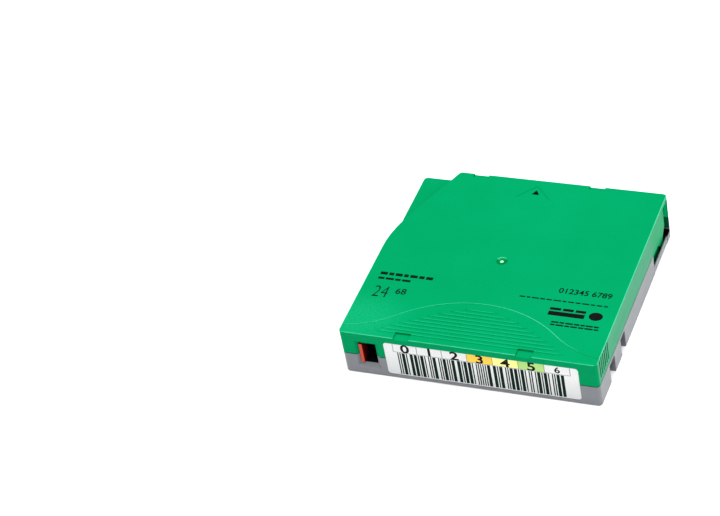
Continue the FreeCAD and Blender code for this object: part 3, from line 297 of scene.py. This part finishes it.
def channel_details(n, tone):
    """Painted shade darkens the floor and the inner side of the door's channel."""
    x, y, z = n.xyz()[0:3]
    channel_shade = n.math("MULTIPLY", n.ramp(x, 0.0490, 0.0494), n.ramp(x, 0.05236, 0.05244, 1.0, 0.0))
    channel_shade = n.math("MULTIPLY", channel_shade, n.ramp(y, 0.0240, 0.0250))
    channel_shade = n.math("MULTIPLY", channel_shade, n.ramp(z, 0.00370, 0.00388, 1.0, 0.0))
    channel_shade = n.math("MULTIPLY", channel_shade, n.ramp(z, 0.0003, 0.0006))
    tone = n.mix(n.math("MULTIPLY", channel_shade, n.ramp(n.noise(500.0, 3.0), 0.25, 0.6, 0.9, 1.0)), tone, (0.010, 0.013, 0.012))
    # and painted shade darkens the inside of the case behind the small window
    inside = n.math("MULTIPLY", n.ramp(y, -0.04975, -0.04965), n.ramp(y, -0.0300, -0.0290, 1.0, 0.0))
    inside = n.math("MULTIPLY", inside, n.math("MULTIPLY", n.ramp(z, 0.0004, 0.0006), near(n, x, -0.0410, 0.0090, 0.0010)))
    return n.mix(n.math("MULTIPLY", inside, 0.97), tone, (0.008, 0.009, 0.009))


mats = {
    "green_plastic": plastic("green_plastic", GREEN, light=(0.0006, 0.375, 0.166), dark=(0.0003, 0.345, 0.148), rough=0.42,
                             ior=1.12, sheen=0.0, edge=1.0, highlight_tone=(0.24, 0.78, 0.54), details=roof_details),
    "grey_plastic": plastic("grey_plastic", lin(136, 138, 143), rough=0.40, ior=1.5, sheen=0.28, edge=0.4, highlight_tone=lin(190, 192, 196), details=channel_details),
    # painted light: the door's green is a lighter copy of the shell's green, raised to make up for the shade the
    # recessed door sits in
    "door_plastic": plastic("door_plastic", (0.006, 0.40, 0.170), rough=0.38, ior=1.25),
    "red_plastic": plastic("red_plastic", lin(200, 88, 63), rough=0.4, ior=1.38, details=slider_details),
    "label_paper": plastic("label_paper", lin(232, 233, 233), light=lin(235, 236, 236), dark=lin(228, 229, 230), rough=0.5, ior=1.3, grain=0.00001, details=label_details),
    "spring_steel": steel("spring_steel", (0.55, 0.55, 0.57), 0.25),
    "reel_plastic": plastic("reel_plastic", lin(222, 222, 218), rough=0.45, ior=1.42),
    "flange_plastic": plastic("flange_plastic", lin(226, 227, 226), rough=0.4, ior=1.42),
    "plate_steel": steel("plate_steel", (0.60, 0.61, 0.62), 0.32),
    "tape_film": plastic("tape_film", lin(38, 34, 32), rough=0.22, ior=1.5, grain=0.00001),
    "brake_plastic": plastic("brake_plastic", lin(215, 213, 205), rough=0.45, ior=1.42),
    "pad_plastic": plastic("pad_plastic", lin(232, 231, 224), rough=0.45, ior=1.42),
    "pin_steel": steel("pin_steel", (0.66, 0.67, 0.68), 0.18),
    "clip_plastic": plastic("clip_plastic", lin(62, 62, 66), rough=0.45, ior=1.42),
    "board_laminate": plastic("board_laminate", lin(38, 96, 58), rough=0.35, ior=1.48),
    "chip_resin": plastic("chip_resin", lin(34, 34, 36), rough=0.5, ior=1.45),
    "screw_steel": steel("screw_steel", (0.52, 0.52, 0.55), 0.3),
}
for sub in frame["record"]["subparts"]:
    obj = nodes[sub["node"]]
    for slot in obj.material_slots:
        slot.material = mats[sub["material_slot"]]
    if not obj.material_slots:
        obj.data.materials.append(mats[sub["material_slot"]])


def ink(name, colour, rough=0.5, spots=0.12):
    """Printing ink: a thin, slightly uneven film with pinholes of the ground showing through as lighter specks."""
    n = Nodes(name)
    patchy = n.noise(900.0, 3.0, 0.6)
    n.put(n.bsdf.inputs["Base Color"], n.mix(n.ramp(patchy, 0.35, 0.75, 0.0, spots), colour, tuple(min(1.0, c * 1.5 + 0.02) for c in colour)))
    n.put(n.bsdf.inputs["Roughness"], n.ramp(patchy, 0.3, 0.7, rough - 0.05, rough + 0.07))
    n.bsdf.inputs["IOR"].default_value = 1.3
    n.put(n.bsdf.inputs["Normal"], n.bump(patchy, 0.25, 0.00001))
    return n.mat


INK_BLACK = ink("ink_black", lin(22, 26, 26))
INK_BAR = ink("ink_bar", lin(0, 42, 30))
INK_TOP = ink("ink_top", lin(0, 48, 26))
INK_ARROW = ink("ink_arrow", lin(10, 30, 20))
INK_ORANGE = ink("ink_orange", lin(252, 207, 95), spots=0.05)
INK_YELLOW = ink("ink_yellow", lin(247, 243, 163), spots=0.05)
INK_GREEN = ink("ink_green", lin(182, 218, 140), spots=0.05)
INK_LINE = ink("ink_line", lin(120, 122, 124))


# ------------------------------------------------------------------ printed marks

def ride(obj):
    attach(obj, "case")
    return obj


def mesh(name, verts, faces, material):
    me = bpy.data.meshes.new(name)
    me.from_pydata([Vector(v) for v in verts], [], faces)
    me.update()
    me.materials.append(material)
    obj = bpy.data.objects.new(name, me)
    scene.collection.objects.link(obj)
    return obj


FRONT_Y = -50.90 * MM          # the label's printed face
ROOF_Z = 21.5 * MM


def front_slabs(name, rects, material, proud=0.012):
    """Flat printed rectangles (x0, x1, z0, z1 in mm) standing a hair proud of the label."""
    verts, faces = [], []
    y0, y1 = FRONT_Y + 0.004 * MM, FRONT_Y - proud * MM
    for x0, x1, z0, z1 in rects:
        k = len(verts)
        for y in (y1, y0):
            verts += [(x0 * MM, y, z0 * MM), (x1 * MM, y, z0 * MM), (x1 * MM, y, z1 * MM), (x0 * MM, y, z1 * MM)]
        faces += [(k, k + 1, k + 2, k + 3), (k + 7, k + 6, k + 5, k + 4)]
        for i in range(4):
            j = (i + 1) % 4
            faces.append((k + i, k + 4 + i, k + 4 + j, k + j))
    return ride(mesh(name, verts, faces, material))


def roof_slabs(name, polys, material, z=ROOF_Z, proud=0.015):
    """Flat printed polygons (lists of x, y in mm, counter-clockwise) standing a hair proud of the roof."""
    verts, faces = [], []
    for poly in polys:
        k, m = len(verts), len(poly)
        verts += [(x * MM, y * MM, z + proud * MM) for x, y in poly] + [(x * MM, y * MM, z - 0.01 * MM) for x, y in poly]
        faces.append(tuple(range(k, k + m)))
        faces.append(tuple(range(k + 2 * m - 1, k + m - 1, -1)))
        for i in range(m):
            j = (i + 1) % m
            faces.append((k + i, k + m + i, k + m + j, k + j))
    return ride(mesh(name, verts, faces, material))


def box2(x0, x1, y0, y1):
    return [(x0, y0), (x1, y0), (x1, y1), (x0, y1)]


# label: a row of cells with plain numbers over a field of bars
SEPARATORS = [-30.5, -20.6, -10.25, 0.05, 10.45, 20.9, 31.35, 41.6]
CELL_Z = (14.15, 18.22)
front_slabs("label_cell_orange", [(SEPARATORS[3], SEPARATORS[4], *CELL_Z)], INK_ORANGE, 0.010)
front_slabs("label_cell_yellow", [(SEPARATORS[4], SEPARATORS[5], *CELL_Z)], INK_YELLOW, 0.010)
front_slabs("label_cell_green", [(SEPARATORS[5], SEPARATORS[6], *CELL_Z)], INK_GREEN, 0.010)
lines = [(x - 0.10, x + 0.10, *CELL_Z) for x in SEPARATORS]
lines.append((SEPARATORS[0] - 0.10, SEPARATORS[7] + 0.10, CELL_Z[0] - 0.09, CELL_Z[0] + 0.09))
front_slabs("label_cell_lines", lines, INK_LINE, 0.016)

# ten groups of five bars, two of them wide, with one wide gap: plain stripes that spell nothing
rng = np.random.default_rng(41)
THIN, WIDE = 0.46, 1.30
widths = []
for group in range(10):
    wide_bars = set(rng.choice(5, size=2, replace=False).tolist())
    wide_gap = int(rng.integers(0, 4))
    for i in range(5):
        widths.append((WIDE if i in wide_bars else THIN, WIDE * 0.92 if i == wide_gap else THIN * 1.12))
scale = 68.4 / sum(w + g for w, g in widths)
bars, x = [], -29.0
for w, g in widths:
    bars.append((x, x + w * scale, 2.5, 13.85))
    x += (w + g) * scale
front_slabs("label_bars", bars, INK_BAR, 0.020)


def number(name, text, size, at, material, front=True, thick=0.0, broad=1.0, lean=0.0):
    """A plain printed number, as a mesh, centred on a place on the label or the roof (mm)."""
    curve = bpy.data.curves.new(name, "FONT")
    curve.body = text
    curve.size = size * MM
    curve.align_x, curve.align_y = "CENTER", "CENTER"
    curve.extrude = 0.012 * MM
    curve.offset = thick * MM
    curve.resolution_u = 4
    tmp = bpy.data.objects.new(name + "_curve", curve)
    scene.collection.objects.link(tmp)
    bpy.context.view_layer.update()
    me = bpy.data.meshes.new_from_object(tmp.evaluated_get(bpy.context.evaluated_depsgraph_get()))
    bpy.data.objects.remove(tmp)
    me.name = name
    me.transform(Matrix(((broad, lean, 0, 0), (0, 1, 0, 0), (0, 0, 1, 0), (0, 0, 0, 1))))
    if front:
        turn = Matrix.Translation(Vector((at[0] * MM, FRONT_Y - 0.008 * MM, at[1] * MM))) @ Matrix.Rotation(math.radians(90), 4, "X")
    else:
        turn = Matrix.Translation(Vector((at[0] * MM, at[1] * MM, ROOF_Z + 0.004 * MM)))
    me.transform(turn)
    me.materials.clear()
    me.materials.append(material)
    obj = bpy.data.objects.new(name, me)
    scene.collection.objects.link(obj)
    return ride(obj)


for i, text in enumerate("0123456"):
    mid = (SEPARATORS[i] + SEPARATORS[i + 1]) / 2
    small = i == 6
    number("label_number_%d" % i, text, 4.3 if small else 5.9, (mid, 16.1 if small else 16.0), INK_BLACK,
           thick=0.05 if small else 0.11, broad=1.15 if small else 1.28)

# roof: insertion arrow; plain bars, numbers and shapes where print belongs
roof_slabs("arrow_print", [[(-2.0, 41.8), (1.15, 41.8), (-0.55, 44.5)]], INK_ARROW)


def row(x0, y, tall, lengths, gap):
    out, x = [], x0
    for w in lengths:
        out.append(box2(x, x + w, y, y + tall))
        x += w + gap
    return out


marks = []
marks += row(-47.6, -16.1, 1.55, [3.0, 2.0, 2.9, 1.9, 3.1, 2.2, 2.9], 0.72)
marks += row(-47.6, -18.8, 1.15, [2.6, 3.4, 2.3, 3.6], 0.6)
marks += row(12.0, -18.9, 0.62, [2.3, 1.5, 2.8, 1.9, 2.2, 3.1, 1.6, 2.4, 2.0, 2.9, 1.7, 2.3, 1.6], 0.62)
marks += row(28.6, -32.4, 0.75, [1.7, 3.1, 1.9, 2.7, 2.1, 3.2, 1.8], 0.45)
marks += row(28.6, -30.9, 0.75, [2.9, 1.9, 3.1, 2.2, 1.7, 2.8, 2.0], 0.40)
roof_slabs("roof_print_bars", marks, INK_TOP)
roof_slabs("roof_print_blocks", [
    box2(25.9, 40.4, -26.9, -24.7), box2(25.9, 30.3, -23.9, -22.6), box2(31.2, 35.4, -23.9, -22.6), box2(36.3, 40.4, -23.9, -22.6),
    [(44.75 + 2.75 * math.cos(a * math.pi / 16), -24.8 + 2.25 * math.sin(a * math.pi / 16)) for a in range(32)]], INK_BLACK)
number("roof_number_large", "24", 9.3, (-43.7, -26.3), INK_TOP, front=False, thick=-0.13, broad=0.72)
number("roof_number_small", "68", 4.6, (-35.6, -24.8), INK_TOP, front=False, thick=0.03, broad=1.0)
number("roof_number_row", "012345 6789", 3.95, (37.1, -12.8), INK_TOP, front=False, thick=0.05, broad=1.04)

# ------------------------------------------------------------------ springs as pieces of their own

def spring(name, node):
    """The coil again, as a piece of its own in spring steel, with the CAD coil hidden."""
    me = nodes[node].data.copy()
    me.name = name
    me.transform(nodes[node].matrix_world)
    me.materials.clear()
    me.materials.append(mats["spring_steel"])
    obj = bpy.data.objects.new(name, me)
    scene.collection.objects.link(obj)
    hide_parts(node)
    return obj


door_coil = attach(spring("door_coil", "door_spring"), "case")
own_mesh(door_coil)
brake_coil = spring("brake_coil", "brake_spring")
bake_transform(brake_coil)


# ------------------------------------------------------------------ floor, light, camera

floor = mesh("studio_floor", [(-6, -6, 0), (6, -6, 0), (6, 6, 0), (-6, 6, 0)], [(0, 1, 2, 3)], None or mats["label_paper"])
f = Nodes("studio_floor_paint")
f.put(f.bsdf.inputs["Base Color"], f.mix(f.ramp(f.noise(3.0, 3.0), 0.3, 0.7), (0.80, 0.80, 0.80), (0.83, 0.83, 0.83)))
f.bsdf.inputs["Roughness"].default_value = 0.9
f.bsdf.inputs["Specular IOR Level"].default_value = 0.1
f.bsdf.inputs["Emission Color"].default_value = (1, 1, 1, 1)
f.bsdf.inputs["Emission Strength"].default_value = 0.18
f.put(f.bsdf.inputs["Normal"], f.bump(f.noise(400.0, 2.0), 0.05, 0.0001))
floor.data.materials.clear()
floor.data.materials.append(f.mat)

world = bpy.data.worlds.new("studio")
scene.world = world
world.use_nodes = True
wt = world.node_tree
wt.nodes.clear()
wo = wt.nodes.new("ShaderNodeOutputWorld")
bg = wt.nodes.new("ShaderNodeBackground")
wt.links.new(bg.outputs[0], wo.inputs[0])
bg.inputs["Color"].default_value = (1, 1, 1, 1)
bg.inputs["Strength"].default_value = 0.25


def softbox(name, at, to, size, power):
    light = bpy.data.lights.new(name, "AREA")
    light.shape = "RECTANGLE"
    light.size, light.size_y = size
    light.energy = power
    obj = bpy.data.objects.new(name, light)
    scene.collection.objects.link(obj)
    at, to = Vector(at), Vector(to)
    obj.matrix_world = Matrix.Translation(at) @ (to - at).to_track_quat("-Z", "Y").to_matrix().to_4x4()
    return obj


softbox("top_box", (0.10, -0.10, 1.3), (0, 0, 0), (1.3, 1.3), 15.5)
softbox("front_box", (-1.1, -1.2, 0.7), (0, 0, 0), (1.4, 1.0), 3.2)
softbox("side_box", (1.5, 0.2, 0.7), (0, 0, 0), (1.2, 1.0), 5.2)

# camera: the photograph's angle, fitted from the case's own corners
AZ, EL, ROLL = (math.radians(a) for a in (28.2577, 39.88, -11.9611))
DIST, FOCAL, TX, TY = 960.5037, 2399.707, 59.3784, -9.3892
back = Vector((math.sin(AZ) * math.cos(EL), -math.cos(AZ) * math.cos(EL), math.sin(EL)))
right = Vector((0, 0, 1)).cross(back).normalized()
up = back.cross(right)
r = math.cos(ROLL) * right + math.sin(ROLL) * up
u = -math.sin(ROLL) * right + math.cos(ROLL) * up
place = (Vector((0, 0, 10.75)) - TX * r - TY * u + DIST * back) * MM
cam = bpy.data.cameras.new("camera")
cam.sensor_fit = "HORIZONTAL"
cam.sensor_width = 36.0
cam.lens = FOCAL / 720.0 * 36.0
cam.clip_start, cam.clip_end = 0.05, 30.0
camera = bpy.data.objects.new("camera", cam)
scene.collection.objects.link(camera)
camera.matrix_world = Matrix(((r.x, u.x, back.x, place.x), (r.y, u.y, back.y, place.y), (r.z, u.z, back.z, place.z), (0, 0, 0, 1)))
scene.camera = camera
